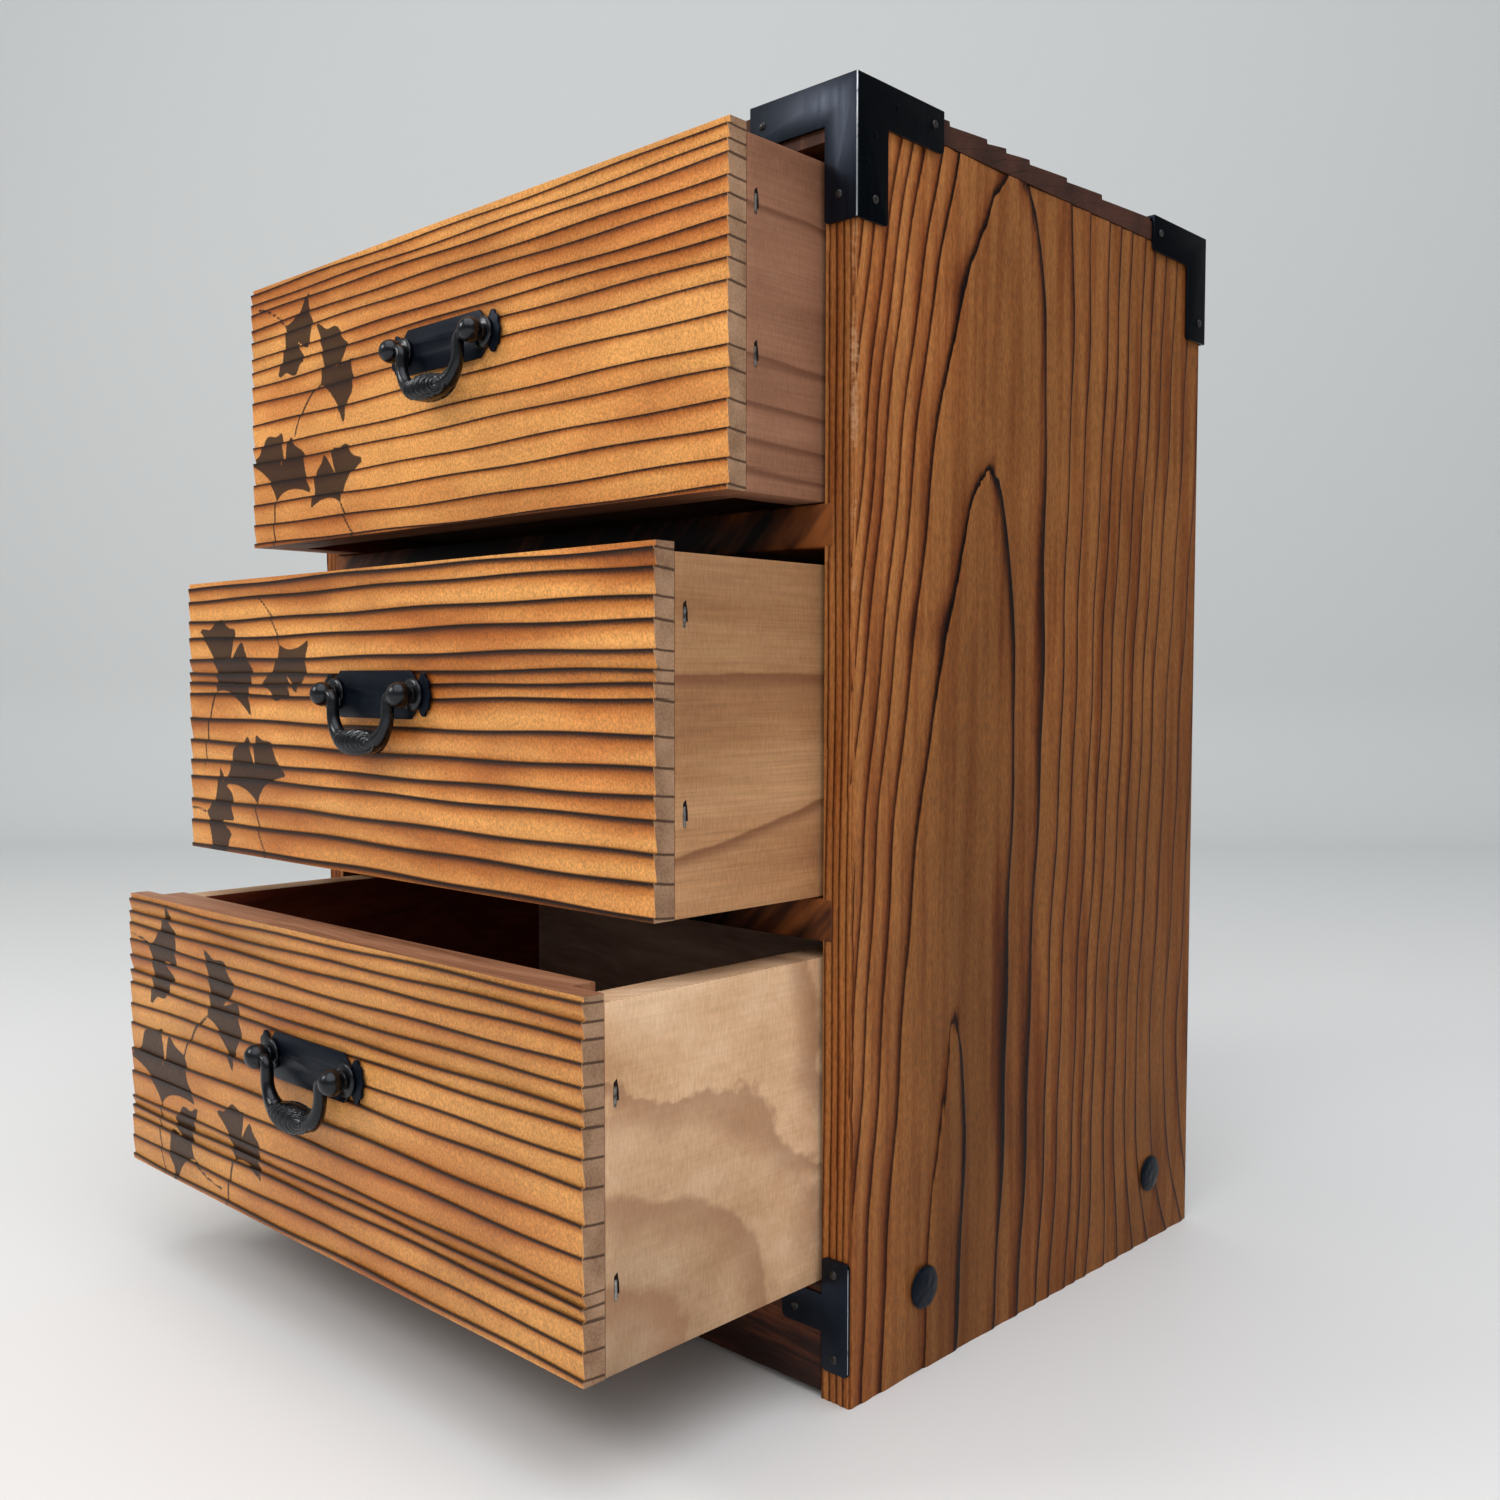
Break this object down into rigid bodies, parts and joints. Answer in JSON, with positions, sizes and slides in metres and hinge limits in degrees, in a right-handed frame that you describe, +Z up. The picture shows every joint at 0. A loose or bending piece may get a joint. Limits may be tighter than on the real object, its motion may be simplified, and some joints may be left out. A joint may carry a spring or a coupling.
{
  "type": "drawer cabinet",
  "caption": "Small table-top drawer cabinet in brushed burnt cedar with black corner irons, dome studs and hanging bail pulls; the drawers slide out and the bails swing.",
  "frame": {"origin": "on the floor at the middle of the back board's lower edge", "axes": "+Z up, +X to the right seen from the front, the drawers pull out along -Y"},
  "size_m": [0.2866, 0.3115, 0.3813],
  "materials": {
    "burnt_cedar_case": "burnt, brushed and lacquered",
    "burnt_cedar_dark": "burnt, brushed and lacquered, dark",
    "burnt_cedar_front": "burnt and brushed, honey lacquer",
    "drawer_wood": "planed, bare",
    "black_sheet_iron": "satin black",
    "black_cast_iron": "satin black"
  },
  "bodies": {
    "case": {"side_left": "burnt_cedar_case", "side_right": "burnt_cedar_case", "top_board": "burnt_cedar_dark", "bottom_board": "burnt_cedar_dark", "back_board": "burnt_cedar_case", "kick_board": "burnt_cedar_case", "rail_lower": "burnt_cedar_dark", "rail_upper": "burnt_cedar_dark", "runner_lower_left": "drawer_wood", "runner_lower_right": "drawer_wood", "runner_upper_left": "drawer_wood", "runner_upper_right": "drawer_wood", "iron_front_left": "black_sheet_iron", "iron_front_right": "black_sheet_iron", "iron_back_left": "black_sheet_iron", "iron_back_right": "black_sheet_iron", "t_plate_left": "black_sheet_iron", "t_plate_right": "black_sheet_iron", "stud_left_front": "black_cast_iron", "stud_left_back": "black_cast_iron", "stud_right_front": "black_cast_iron", "stud_right_back": "black_cast_iron"},
    "drawer_lower": {"drawer_lower_front": "burnt_cedar_front", "drawer_lower_side_left": "drawer_wood", "drawer_lower_side_right": "drawer_wood", "drawer_lower_back": "drawer_wood", "drawer_lower_bottom": "drawer_wood", "drawer_lower_pull_plate": "black_sheet_iron", "drawer_lower_pull_post_left": "black_cast_iron", "drawer_lower_pull_post_right": "black_cast_iron", "drawer_lower_pull_nut_left": "black_cast_iron", "drawer_lower_pull_nut_right": "black_cast_iron"},
    "bail_lower": {"drawer_lower_pull_bail": "black_cast_iron"},
    "drawer_middle": {"drawer_middle_front": "burnt_cedar_front", "drawer_middle_side_left": "drawer_wood", "drawer_middle_side_right": "drawer_wood", "drawer_middle_back": "drawer_wood", "drawer_middle_bottom": "drawer_wood", "drawer_middle_pull_plate": "black_sheet_iron", "drawer_middle_pull_post_left": "black_cast_iron", "drawer_middle_pull_post_right": "black_cast_iron", "drawer_middle_pull_nut_left": "black_cast_iron", "drawer_middle_pull_nut_right": "black_cast_iron"},
    "bail_middle": {"drawer_middle_pull_bail": "black_cast_iron"},
    "drawer_upper": {"drawer_upper_front": "burnt_cedar_front", "drawer_upper_side_left": "drawer_wood", "drawer_upper_side_right": "drawer_wood", "drawer_upper_back": "drawer_wood", "drawer_upper_bottom": "drawer_wood", "drawer_upper_pull_plate": "black_sheet_iron", "drawer_upper_pull_post_left": "black_cast_iron", "drawer_upper_pull_post_right": "black_cast_iron", "drawer_upper_pull_nut_left": "black_cast_iron", "drawer_upper_pull_nut_right": "black_cast_iron"},
    "bail_upper": {"drawer_upper_pull_bail": "black_cast_iron"}
  },
  "joints": [
    {"name": "lower_slide", "type": "slide", "parent": "case", "child": "drawer_lower", "axis": [0, -1, 0], "range_m": [-0.09, 0.06]},
    {"name": "lower_bail", "type": "hinge", "parent": "drawer_lower", "child": "bail_lower", "pos_m": [0, -0.3025, 0.093], "axis": [-1, 0, 0], "range_deg": [-5, 185]},
    {"name": "middle_slide", "type": "slide", "parent": "case", "child": "drawer_middle", "axis": [0, -1, 0], "range_m": [-0.0655, 0.0845]},
    {"name": "middle_bail", "type": "hinge", "parent": "drawer_middle", "child": "bail_middle", "pos_m": [0, -0.278, 0.2075], "axis": [-1, 0, 0], "range_deg": [-5, 185]},
    {"name": "upper_slide", "type": "slide", "parent": "case", "child": "drawer_upper", "axis": [0, -1, 0], "range_m": [-0.0385, 0.1115]},
    {"name": "upper_bail", "type": "hinge", "parent": "drawer_upper", "child": "bail_upper", "pos_m": [0, -0.251, 0.322], "axis": [-1, 0, 0], "range_deg": [-5, 185]}
  ]
}
